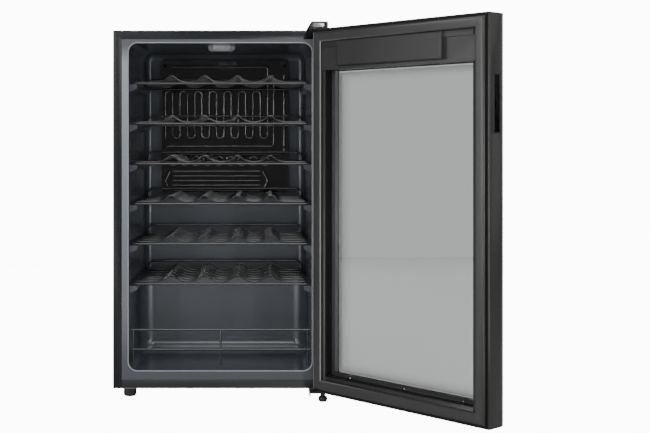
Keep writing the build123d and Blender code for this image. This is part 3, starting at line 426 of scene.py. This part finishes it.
serpentine_pitch, serpentine_passes = 0.0185, 15
serpentine_left, serpentine_low, serpentine_high = 0.008, 0.137, 0.255
serpentine_right = serpentine_left + (serpentine_passes - 1) * serpentine_pitch
serpentine = []
for turn in range(serpentine_passes):
    ends = (serpentine_low, serpentine_high) if turn % 2 == 0 else (serpentine_high, serpentine_low)
    serpentine += [on_plate(serpentine_left + turn * serpentine_pitch, up) for up in ends]
feed_drop, side_inset, side_drop = 0.018, 0.020, 0.040
feed_up = plate_height - feed_drop
runs = [serpentine, [on_plate(serpentine_right, serpentine_high), on_plate(serpentine_right, feed_up),
                     on_plate(serpentine_left + side_inset, feed_up)]]
return_inset, return_gap, inner_up, outer_up = 0.010, 0.026, 0.116, 0.097
outer_right = plate_width - return_inset
for return_right, return_up in ((outer_right - return_gap, inner_up), (outer_right, outer_up)):
    runs.append([on_plate(return_right, plate_height - side_drop), on_plate(return_right, return_up),
                 on_plate(serpentine_left, return_up)])
header_foot, header_pitch, header_rows = 0.006, 0.0118, 5
header_top = header_foot + (header_rows - 1) * header_pitch
for row in range(header_rows):
    runs.append([on_plate(across, header_foot + row * header_pitch)
                 for across in (serpentine_left + side_inset, serpentine_right - side_inset)])
bow = 0.012
for side, reach in ((serpentine_left + bow, -bow), (serpentine_right - bow, bow)):
    runs.append([on_plate(side, header_foot), on_plate(side + reach, (header_foot + header_top) / 2),
                 on_plate(side, header_top)])
cell_count, cell_pitch, cell_radius, cell_up, cell_steps = 9, 0.029, 0.0115, 0.079, 12
for cell in range(cell_count):
    centre = serpentine_left + side_inset + cell * cell_pitch
    angles = [step * math.tau / cell_steps for step in range(cell_steps + 1)]
    runs.append([on_plate(centre + cell_radius * math.cos(angle), cell_up + cell_radius * math.sin(angle))
                 for angle in angles])
beads("evaporator_channels", runs, channel_radius, plate_paint, "cabinet",
      bend=channel_bend)
dress(plate_paint, "evaporator_plate")

# ---------------------------------------------------------------- screws
# Pan-head screws with a cross recess: zinc plated at the hinges, blackened at the evaporator and the glass
# bead. Each head is a turned dome with a cross sunk in it, repeated on its seats.
black_screw = finish("black_screw", (0.02, 0.02, 0.02), (0.035, 0.035, 0.036), 0.3, grain=600, metallic=0.8)


def screw_head(radius, height, material):
    """A domed head about +Z with its seat at the origin and a cross recess."""
    shape = bmesh.new()
    sides = 24
    rings = [(radius, 0.0), (radius, height * 0.35), (radius * 0.82, height * 0.8), (radius * 0.55, height)]
    loops = []
    turns = [i * math.tau / sides for i in range(sides)]
    for size, rise in rings:
        loops.append([shape.verts.new((size * math.cos(turn), size * math.sin(turn), rise)) for turn in turns])
    arm, half = radius * 0.5, radius * 0.13
    deep = height * 0.35
    corners = [
        (half, half), (half, arm), (-half, arm), (-half, half), (-arm, half), (-arm, -half),
        (-half, -half), (-half, -arm), (half, -arm), (half, -half), (arm, -half), (arm, half)]
    mouth = [shape.verts.new((x, y, height)) for x, y in corners]
    floor = [shape.verts.new((x * 0.8, y * 0.8, deep)) for x, y in corners]
    for lower, upper in zip(loops, loops[1:]):
        for i in range(sides):
            shape.faces.new((lower[i], lower[(i + 1) % sides], upper[(i + 1) % sides], upper[i]))
    shape.faces.new(list(reversed(loops[0])))
    count = len(corners)
    for i in range(count):
        shape.faces.new((mouth[i], floor[i], floor[(i + 1) % count], mouth[(i + 1) % count]))
    shape.faces.new(floor)
    rim = [shape.edges.get((loops[-1][i], loops[-1][(i + 1) % sides])) for i in range(sides)]
    lip = [shape.edges.get((mouth[i], mouth[(i + 1) % count])) for i in range(count)]
    bmesh.ops.triangle_fill(shape, use_beauty=True, use_dissolve=False, edges=rim + lip)
    bmesh.ops.recalc_face_normals(shape, faces=shape.faces)
    mesh = bpy.data.meshes.new("screw_head")
    shape.to_mesh(mesh)
    shape.free()
    mesh.materials.append(material)
    return placed("screw_head", mesh)


def pointing(direction):
    """The turn that brings +Z into a direction."""
    return Vector(direction).to_track_quat("Z", "Y").to_euler()


def screws(name, seats, direction, radius, height, material, body):
    """One mesh of equal screw heads on their seats, all facing one way."""
    head = screw_head(radius, height, material)
    seat_mesh = bpy.data.meshes.new(name + "_seats")
    seat_mesh.from_pydata(seats, [], [])

    def build(tree, given):
        shape = tree.nodes.new("GeometryNodeObjectInfo")
        place = tree.nodes.new("GeometryNodeInstanceOnPoints")
        tree.links.new(given["Head"], shape.inputs["Object"])
        tree.links.new(given["Seats"], place.inputs["Points"])
        tree.links.new(shape.outputs["Geometry"], place.inputs["Instance"])
        tree.links.new(given["Facing"], place.inputs["Rotation"])
        return place.outputs["Instances"]

    given = (("Head", "Object", head), ("Facing", "Rotation", pointing(direction)))
    piece = grown(name, seat_mesh, "Seats", given, build, material, body)
    bpy.data.objects.remove(head)
    return piece


head_inset, head_share, head_drop = 0.009, 0.34, 0.016
plate_head_radius, plate_head_rise = 0.0045, 0.0025
screws("evaporator_screw_heads",
       [(x, plate_low.y, z) for x in (plate_low.x + head_inset, plate_high.x - head_inset)
        for z in (plate_low.z + head_share * plate_height, plate_high.z - head_drop)],
       (0, -1, 0), plate_head_radius, plate_head_rise, black_screw, "cabinet")
dress(black_screw, "evaporator_screws")

# ---------------------------------------------------------------- lamp and probe
# A clear moulded lens with ribs across it clips over a small board in the ceiling. The temperature probe is a
# capped sensor in matt black plastic on the right wall.
lens_clear = bpy.data.materials.new("lens_clear")
lens_clear.use_nodes = True
lens_shader = shader_of(lens_clear)
lens_shader.inputs["Base Color"].default_value = (0.70, 0.72, 0.74, 1)
lens_shader.inputs["Roughness"].default_value = 0.15
lens_shader.inputs["Transmission Weight"].default_value = 0.7
lens_shader.inputs["IOR"].default_value = 1.49
lens_place = lens_clear.node_tree.nodes.new("ShaderNodeTexCoord")
lens_ribs = lens_clear.node_tree.nodes.new("ShaderNodeTexWave")
lens_ribs.wave_profile = "TRI"
lens_ribs.inputs["Scale"].default_value = 62.0
lens_bump = lens_clear.node_tree.nodes.new("ShaderNodeBump")
lens_bump.inputs["Strength"].default_value = 0.8
lens_bump.inputs["Distance"].default_value = 0.0006
lens_clear.node_tree.links.new(lens_place.outputs["Object"], lens_ribs.inputs["Vector"])
lens_clear.node_tree.links.new(lens_ribs.outputs["Fac"], lens_bump.inputs["Height"])
lens_clear.node_tree.links.new(lens_bump.outputs["Normal"], lens_shader.inputs["Normal"])
dress(lens_clear, "lamp_lens")


def board(name):
    """Green solder mask with pale copper tracks and darker part bodies."""
    material = finish(name, (0.010, 0.075, 0.030), (0.016, 0.105, 0.045), 0.35, grain=400, cloud=60)
    tree = material.node_tree
    place = tree.nodes["Texture Coordinate"]
    tracks = tree.nodes.new("ShaderNodeTexBrick")
    tracks.inputs["Scale"].default_value = 90.0
    tracks.inputs["Mortar Size"].default_value = 0.06
    tracks.inputs["Color1"].default_value = (0.010, 0.075, 0.030, 1)
    tracks.inputs["Color2"].default_value = (0.006, 0.05, 0.02, 1)
    tracks.inputs["Mortar"].default_value = (0.10, 0.24, 0.10, 1)
    tree.links.new(place.outputs["Object"], tracks.inputs["Vector"])
    tree.links.new(tracks.outputs["Color"], shader_of(material).inputs["Base Color"])
    return material


dress(board("circuit"), "control_board")
lamp_white = finish("lamp_white", (0.55, 0.56, 0.57), (0.66, 0.67, 0.68), 0.4, grain=300, relief=0.05, cloud=90)
dress(lamp_white, "lamp_board")
black_plastic = finish(
    "black_plastic", (0.010, 0.010, 0.011), (0.016, 0.016, 0.017), 0.42, grain=1500, relief=0.06)
rounded("temperature_probe", black_plastic, 0.0004)

# ---------------------------------------------------------------- liner rim
# A rounded bead runs round the mouth of the liner, where the formed sheet turns over into the tunnel. Its pale
# grey is a painted highlight on that turned edge.
# Painted highlight: the bead is pale grey to stand for light caught on the liner's rounded mouth.
rim_painted_highlight = finish("rim_painted_highlight", (0.22, 0.23, 0.245), (0.27, 0.28, 0.30), 0.16, grain=900, relief=0.01)
mouth_half, mouth_low, mouth_high, mouth_corner = 0.2052, 0.063, 0.7957, 0.020
rim_radius, rim_sink, rim_outer_share, corner_steps = 0.0014, 0.0005, 0.6, 8
rim_reach = mouth_corner + rim_radius * rim_outer_share
centre_x = mouth_half - mouth_corner
centre_low, centre_high = mouth_low + mouth_corner, mouth_high - mouth_corner
rim_y = liner_front + rim_sink
rim_points = []
for x, z, first in ((centre_x, centre_high, 0), (-centre_x, centre_high, 90), (-centre_x, centre_low, 180),
                    (centre_x, centre_low, 270)):
    for step in range(corner_steps + 1):
        turn = math.radians(first + step * 90 / corner_steps)
        rim_points.append((x + rim_reach * math.cos(turn), rim_y, z + rim_reach * math.sin(turn)))
rim_points.append(rim_points[0])
beads("liner_rim", [rim_points], rim_radius, rim_painted_highlight, "cabinet", sides=10)

# ---------------------------------------------------------------- door frame
# Four extruded profiles in dark satin plastic with small edge radii that catch the light: stiles at full
# height, rails between them.
frame_skin = finish("frame_skin", (0.017, 0.017, 0.015), (0.022, 0.022, 0.019), 0.30, grain=1600)
for name in ("door_stile_hinge", "door_stile_handle", "door_rail_bottom", "door_rail_top"):
    rounded(name, frame_skin, 0.0006)

# ---------------------------------------------------------------- panes
# Grey-tinted outer pane and clear inner pane, each a thin solid of glass. The outer one carries a fired black
# print behind the frame and a border of dots that shrink towards the middle.

# The door's own directions: across from the hinge edge, up from its foot, deep from its outer face inwards.
hinge_axis = Vector((0.228, -0.2195, 0.0))
door_turn = math.radians(132.0)
edge_inset, face_reach, door_foot = 0.012, -0.025, 0.0235
door_origin = Vector((
    hinge_axis.x + edge_inset * math.cos(door_turn) - face_reach * math.sin(door_turn),
    hinge_axis.y + edge_inset * math.sin(door_turn) + face_reach * math.cos(door_turn), door_foot))
door_across = Vector((-math.cos(door_turn), -math.sin(door_turn), 0))
door_deep = Vector((-math.sin(door_turn), math.cos(door_turn), 0))
door_width, door_height = 0.480, 0.800


def on_door(across, up, deep):
    """A point in the door's own directions."""
    return door_origin + door_across * across + Vector((0, 0, up)) + door_deep * deep


def door_piece(name, shape, material):
    """Turn a mesh drawn in the door's own directions into a piece that rides on it."""
    for vert in shape.verts:
        vert.co = on_door(*vert.co)
    bmesh.ops.recalc_face_normals(shape, faces=shape.faces)
    mesh = bpy.data.meshes.new(name)
    shape.to_mesh(mesh)
    shape.free()
    mesh.materials.append(material)
    piece = placed(name, mesh)
    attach(piece, "door")
    return piece


def framed(profile):
    """A closed profile swept round the door with mitred corners.

    It is (side inset, top inset, deep) in millimetres; the foot is inset as the sides are.
    """
    shape = bmesh.new()
    rings = []
    for side_mm, top_mm, deep_mm in profile:
        side, top, deep = side_mm / 1000, top_mm / 1000, deep_mm / 1000
        rings.append([shape.verts.new(place) for place in (
            (side, side, deep), (door_width - side, side, deep),
            (door_width - side, door_height - top, deep), (side, door_height - top, deep))])
    for ring, after in zip(rings, rings[1:] + rings[:1]):
        for i in range(4):
            shape.faces.new((ring[i], ring[(i + 1) % 4], after[(i + 1) % 4], after[i]))
    return shape


def glass(name, tint):
    """Float glass with a body tint and a very faint roller wave."""
    refraction, wave_scale, wave_depth = 1.45, 5.0, 0.0002
    material = bpy.data.materials.new(name)
    material.use_nodes = True
    tree = material.node_tree
    shader = shader_of(material)
    shader.inputs["Base Color"].default_value = (*tint, 1)
    shader.inputs["Roughness"].default_value = 0.0
    shader.inputs["Transmission Weight"].default_value = 1.0
    shader.inputs["IOR"].default_value = refraction
    place = tree.nodes.new("ShaderNodeTexCoord")
    wave = tree.nodes.new("ShaderNodeTexNoise")
    wave.inputs["Scale"].default_value = wave_scale
    bump = tree.nodes.new("ShaderNodeBump")
    bump.inputs["Strength"].default_value = 0.02
    bump.inputs["Distance"].default_value = wave_depth
    tree.links.new(place.outputs["Object"], wave.inputs["Vector"])
    tree.links.new(wave.outputs["Fac"], bump.inputs["Height"])
    tree.links.new(bump.outputs["Normal"], shader.inputs["Normal"])
    return material


dress(glass("tinted_glass", (0.43, 0.432, 0.436)), "outer_glass")
dress(glass("clear_glass", (0.93, 0.95, 0.94)), "inner_glass")

ink = finish("frit_ink", (0.004, 0.004, 0.004), (0.007, 0.007, 0.007), 0.5, grain=1200)
print_edge, print_side, print_top = 0.8, 44.5, 93.5
print_front, print_back = 3.88, 3.96
door_piece("pane_print", framed([
    (print_edge, print_edge, print_front), (print_side, print_top, print_front),
    (print_side, print_top, print_back), (print_edge, print_edge, print_back)]), ink)


def scattered(name, places, sizes, sides, radius, depth, direction, material):
    """Short prisms on a list of places on the door, each with its own share of the full radius."""
    mesh = bpy.data.meshes.new(name + "_places")
    mesh.from_pydata(places, [], [])
    spread = mesh.attributes.new("spread", "FLOAT", "POINT")
    spread.data.foreach_set("value", sizes)

    def build(tree, given):
        form = tree.nodes.new("GeometryNodeMeshCylinder")
        size = tree.nodes.new("GeometryNodeInputNamedAttribute")
        size.data_type = "FLOAT"
        size.inputs["Name"].default_value = "spread"
        scale = tree.nodes.new("ShaderNodeCombineXYZ")
        scale.inputs["Z"].default_value = 1.0
        place = tree.nodes.new("GeometryNodeInstanceOnPoints")
        tree.links.new(given["Sides"], form.inputs["Vertices"])
        tree.links.new(given["Radius"], form.inputs["Radius"])
        tree.links.new(given["Depth"], form.inputs["Depth"])
        tree.links.new(given["Places"], place.inputs["Points"])
        tree.links.new(form.outputs["Mesh"], place.inputs["Instance"])
        tree.links.new(given["Facing"], place.inputs["Rotation"])
        tree.links.new(size.outputs["Attribute"], scale.inputs["X"])
        tree.links.new(size.outputs["Attribute"], scale.inputs["Y"])
        tree.links.new(scale.outputs["Vector"], place.inputs["Scale"])
        return place.outputs["Instances"]

    given = (("Sides", "Int", sides), ("Radius", "Float", radius), ("Depth", "Float", depth),
             ("Facing", "Rotation", pointing(direction)))
    return grown(name, mesh, "Places", given, build, material, "door")


dot_pitch, dot_band, dot_radius, dot_shrink = 0.0046, 0.022, 0.0016, 0.8
dot_places, dot_sizes = [], []
left, right = print_side / 1000 + dot_pitch / 2, door_width - print_side / 1000 - dot_pitch / 2
low, high = print_side / 1000 + dot_pitch / 2, door_height - print_top / 1000 - dot_pitch / 2
dot_deep, dot_depth = (print_front + print_back) / 2000, (print_back - print_front) / 1000
for row in range(int((high - low) / (dot_pitch / 2)) + 1):
    up = low + row * dot_pitch / 2
    shift = dot_pitch / 2 if row % 2 else 0.0
    for column in range(int((right - left) / dot_pitch) + 1):
        across = left + shift + column * dot_pitch
        inward = min(across - left, right - across, up - low, high - up)
        if across <= right and inward < dot_band:
            dot_places.append(on_door(across, up, dot_deep))
            dot_sizes.append(1.0 - dot_shrink * inward / dot_band)
scattered("pane_dots", dot_places, dot_sizes, 6, dot_radius, dot_depth, door_deep, ink)

# ---------------------------------------------------------------- spacer
# A folded aluminium bar between the panes, filled with drying beads behind two rows of fine slots.
spacer_metal = finish(
    "spacer_metal", (0.30, 0.30, 0.31), (0.40, 0.40, 0.41), 0.38, grain=900, relief=0.03, metallic=1.0)
dress(spacer_metal, "glass_spacer")
# Painted shade: the slots are flat dark discs standing for the shade inside the holes.
slot_painted_shade = finish("slot_painted_shade", (0.01, 0.01, 0.01), (0.02, 0.02, 0.02), 0.7, grain=900)
slot_pitch, slot_edge, slot_radius, slot_proud = 0.005, 0.0425, 0.0007, 0.00004
slot_rows = (0.0078, 0.0122)
for name, direction, line in (
    ("spacer_slots_sides", door_across,
     [(x, slot_edge + slot_pitch * (i + 1)) for x in (slot_edge, door_width - slot_edge)
      for i in range(int((door_height - 2 * slot_edge) / slot_pitch) - 1)]),
    ("spacer_slots_ends", Vector((0, 0, 1)),
     [(slot_edge + slot_pitch * (i + 1), z) for z in (slot_edge, door_height - slot_edge)
      for i in range(int((door_width - 2 * slot_edge) / slot_pitch) - 1)]),
):
    places = [on_door(across, up, deep) for across, up in line for deep in slot_rows]
    scattered(name, places, [1.0] * len(places), 8, slot_radius, 2 * slot_proud, direction, slot_painted_shade)

# ---------------------------------------------------------------- glass bead and retainer
# Extruded matt black strips step down onto the inner pane; three small screws hold the lower strip.
bead_plastic = finish(
    "bead_plastic", (0.009, 0.009, 0.010), (0.014, 0.014, 0.015), 0.38, grain=1300, relief=0.03)
rounded("glass_bead", bead_plastic, 0.0005)
retainer_shares, retainer_up, retainer_deep = (0.2, 0.52, 0.84), 0.0405, 0.026
retainer_radius, retainer_rise = 0.0025, 0.0016
retainer_seats = [on_door(share * door_width, retainer_up, retainer_deep) for share in retainer_shares]
retainer = screws("retainer_screw_heads", retainer_seats, door_deep, retainer_radius, retainer_rise,
                  plate_paint, "door")
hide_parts("retainer_screws")

# ---------------------------------------------------------------- gasket
# Soft vinyl, welded at mitred corners: a rooted base, a bellows on each side and a rounded magnet pocket on
# top. Pale lines along both edges of its hinge side are a painted highlight; black strips along its seat and
# the step to the bead are painted shade.
vinyl = finish("vinyl", (0.024, 0.024, 0.025), (0.031, 0.031, 0.033), 0.30, grain=700, relief=0.03)
gasket_profile = [
    (10.5, 44.0), (9.8, 44.9), (8.2, 45.5), (7.3, 46.3), (7.2, 47.3), (8.1, 48.1), (9.2, 48.7), (8.9, 49.7),
    (9.4, 50.6), (10.6, 51.1), (14.0, 51.2), (20.0, 51.0), (25.0, 51.0), (27.4, 50.8), (28.9, 50.0),
    (29.7, 48.8), (29.95, 47.4), (29.7, 46.0), (29.0, 44.8), (28.4, 44.0),
]
gasket_shape = framed([(inset, inset, deep) for inset, deep in gasket_profile])
gasket = door_piece("gasket_profile", gasket_shape, vinyl)
gasket.data.shade_smooth()
gasket.data.set_sharp_from_angle(angle=math.radians(40))
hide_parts("door_gasket")
weld_radius, weld_inner, weld_outer, weld_deep = 0.0004, 0.0285, 0.0105, 0.0508
weld_runs = []
for across, side in ((0.0, 1), (door_width, -1)):
    for up, rise in ((0.0, 1), (door_height, -1)):
        weld_runs.append([on_door(across + side * inset, up + rise * inset, weld_deep)
                          for inset in (weld_outer, (weld_outer + weld_inner) / 2, weld_inner)])
beads("gasket_welds", weld_runs, weld_radius, vinyl, "door", sides=8)
# Painted highlight: pale vinyl lines along both edges of the gasket's hinge side.
lip_painted_highlight = finish("lip_painted_highlight", (0.17, 0.175, 0.175), (0.21, 0.215, 0.215), 0.4, grain=700, relief=0.03)
lip_radius, lip_lines = 0.0014, ((0.0086, 0.0490), (0.0285, 0.0490))
lip_runs = [[on_door(inset, up, deep) for up in (inset, door_height - inset)] for inset, deep in lip_lines]
beads("gasket_lip", lip_runs, lip_radius, lip_painted_highlight, "door", sides=10)
# Painted shade: a near-black strip on the gasket's seat and a near-black trim on the step to the bead.
painted_shade_black = finish("painted_shade_black", (0.002, 0.002, 0.002), (0.004, 0.004, 0.004), 0.7, specular=0.2)
seat_profile = [(2.4, 43.9), (2.4, 44.2), (9.2, 44.2), (9.2, 43.9)]
door_piece("gasket_seat", framed([(inset, inset, deep) for inset, deep in seat_profile]), painted_shade_black)
trim_profile = [
    (38.0, 26.2), (38.5, 26.2), (38.5, 30.0), (38.9, 30.4), (38.9, 31.4), (38.5, 31.8), (38.5, 37.0),
    (38.9, 37.4), (38.9, 38.4), (38.5, 38.8), (38.5, 43.6), (38.0, 43.6),
]
door_piece("inner_trim", framed([(inset, inset, deep) for inset, deep in trim_profile]), painted_shade_black)
magnet = finish("magnet_rubber", (0.03, 0.028, 0.027), (0.05, 0.047, 0.045), 0.6, grain=800, relief=0.1)
dress(magnet, "gasket_magnets")

# ---------------------------------------------------------------- handle, housing and bushes
# The handle is a moulded cup with a bezel in fine-grained black. The housing over the controls is a shade
# lighter. The hinge turns in two sleeves of natural nylon.
rounded("handle_insert", black_plastic, 0.0005)
housing_plastic = finish(
    "housing_plastic", (0.018, 0.018, 0.019), (0.024, 0.024, 0.025), 0.4, grain=1700, relief=0.05,
    specular=0.36)
rounded("control_housing", housing_plastic, 0.0006)
nylon = finish("nylon", (0.62, 0.60, 0.54), (0.70, 0.68, 0.62), 0.45, grain=500, relief=0.03)
dress(nylon, "hinge_bushes")

# ---------------------------------------------------------------- hinges
# Pressed steel: the top plate is bright zinc under a moulded cover with a window at its front, the lower one is
# powder coated with a bright pin. Cross-head screws hold both.
zinc = finish("bright_zinc", (0.45, 0.45, 0.46), (0.62, 0.62, 0.62), 0.26, grain=600, metallic=1.0)
rounded("top_hinge_bracket", zinc, 0.0004)
cover_plastic = finish(
    "cover_plastic", (0.008, 0.008, 0.009), (0.012, 0.012, 0.013), 0.26, grain=1400, relief=0.03)
rounded("top_hinge_cover", cover_plastic, 0.0005)
powder = finish("powder_coat", (0.012, 0.012, 0.012), (0.018, 0.018, 0.018), 0.4, grain=1100, relief=0.12)
rounded("bottom_hinge_bracket", powder, 0.0004)
hinge_seats = [(x, y) for x in (0.206, 0.224) for y in (-0.1785, -0.1525)]
upper_seat, lower_seat, hinge_head_radius, hinge_head_rise = 0.827, 0.020, 0.0042, 0.0026
upper_heads = screws("upper_hinge_screws", [(x, y, upper_seat) for x, y in hinge_seats], (0, 0, 1),
                     hinge_head_radius, hinge_head_rise, zinc, "cabinet")
screws("lower_hinge_screws", [(x, y, lower_seat) for x, y in hinge_seats], (0, 0, -1),
       hinge_head_radius, hinge_head_rise, zinc, "cabinet")
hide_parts("hinge_screws")

# ---------------------------------------------------------------- feet
# Black rubbery plastic pads. The front ones turn on threaded studs, the rear ones are fixed under the base pan.
pad_rubber = finish("pad_rubber", (0.010, 0.010, 0.010), (0.016, 0.016, 0.016), 0.55, grain=800, relief=0.1)
dress(pad_rubber, "rear_feet", "compressor_grommets")
for name in ("front_left_foot", "front_right_foot"):
    rounded(name, pad_rubber, 0.0005)

# ---------------------------------------------------------------- compressor bay
# Gloss enamel on the welded shell, drawn copper tubes gone slightly dull, grained plastic boxes and tray, and
# the condenser at the back in black dip paint.
enamel = finish("enamel", (0.005, 0.005, 0.006), (0.009, 0.009, 0.010), 0.16, grain=300, relief=0.06)
dress(enamel, "compressor")
copper = finish(
    "copper", (0.60, 0.27, 0.17), (0.46, 0.20, 0.12), 0.3, grain=350, relief=0.04, cloud=30, metallic=1.0)
dress(copper, "refrigerant_tubes", "filter_drier")
for name in ("terminal_box", "control_box", "drip_tray", "cord_gland"):
    rounded(name, black_plastic, 0.0005)
dress(pad_rubber, "drain_tube")
dip_paint = finish(
    "dip_paint", (0.008, 0.008, 0.009), (0.014, 0.014, 0.015), 0.3, grain=260, relief=0.08, cloud=25)
dress(dip_paint, "condenser_tube", "condenser_wires")
